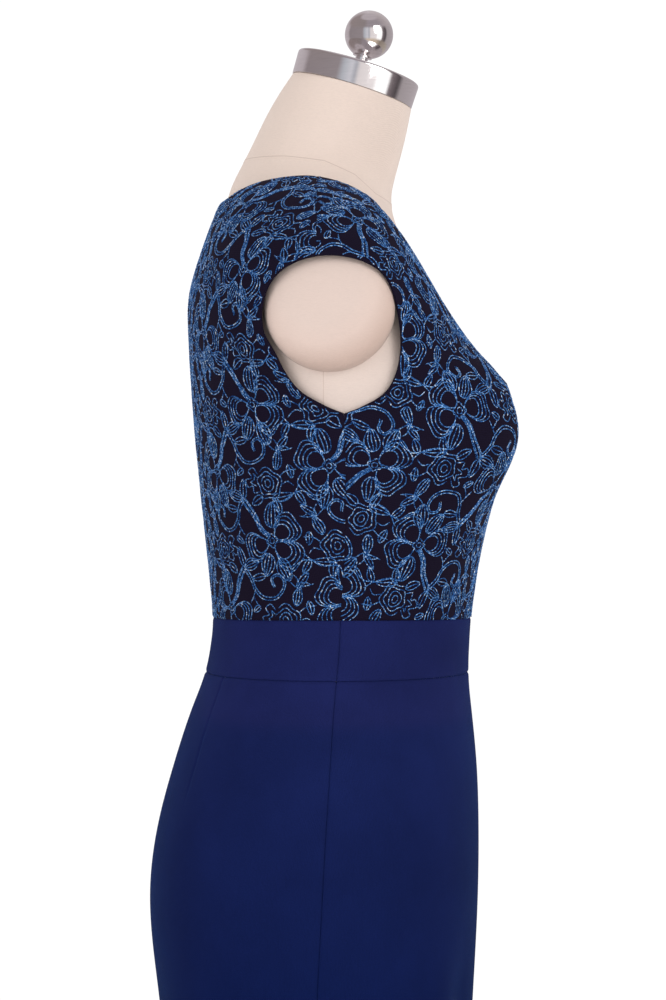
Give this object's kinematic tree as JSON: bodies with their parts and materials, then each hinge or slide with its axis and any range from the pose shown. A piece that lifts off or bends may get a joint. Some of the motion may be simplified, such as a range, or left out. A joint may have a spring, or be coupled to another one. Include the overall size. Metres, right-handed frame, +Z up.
{
  "type": "cocktail dress on dress form",
  "caption": "Knee-length sheath dress with an embroidered lace bodice, V neck, shaped waistband and pencil skirt, worn by a limbless dress form on a round stand.",
  "frame": {"origin": "centre of the stand's underside, on the pole's axis, at floor level", "axes": "+Z up along the pole, the front of the dress faces -Y, the wearer's left is at +X"},
  "size_m": [0.3578, 0.33, 1.5363],
  "materials": {
    "lace": "metallic blue embroidery on a near-black backing",
    "navy_knit": "matt double knit, deep navy",
    "form_cloth": "fine matt linen, pale cream",
    "polished_steel": "polished",
    "brushed_steel": "satin"
  },
  "bodies": {
    "root": {"bodice_front": "lace", "bodice_back": "lace", "waistband_front": "navy_knit", "waistband_back": "navy_knit", "skirt_front": "navy_knit", "skirt_back": "navy_knit", "form_torso": "form_cloth", "form_arm_stub_left": "form_cloth", "form_arm_stub_right": "form_cloth", "form_neck_cap": "polished_steel", "form_finial": "polished_steel", "stand_flange": "brushed_steel", "stand_pole": "brushed_steel", "stand_base": "brushed_steel"}
  },
  "joints": []
}
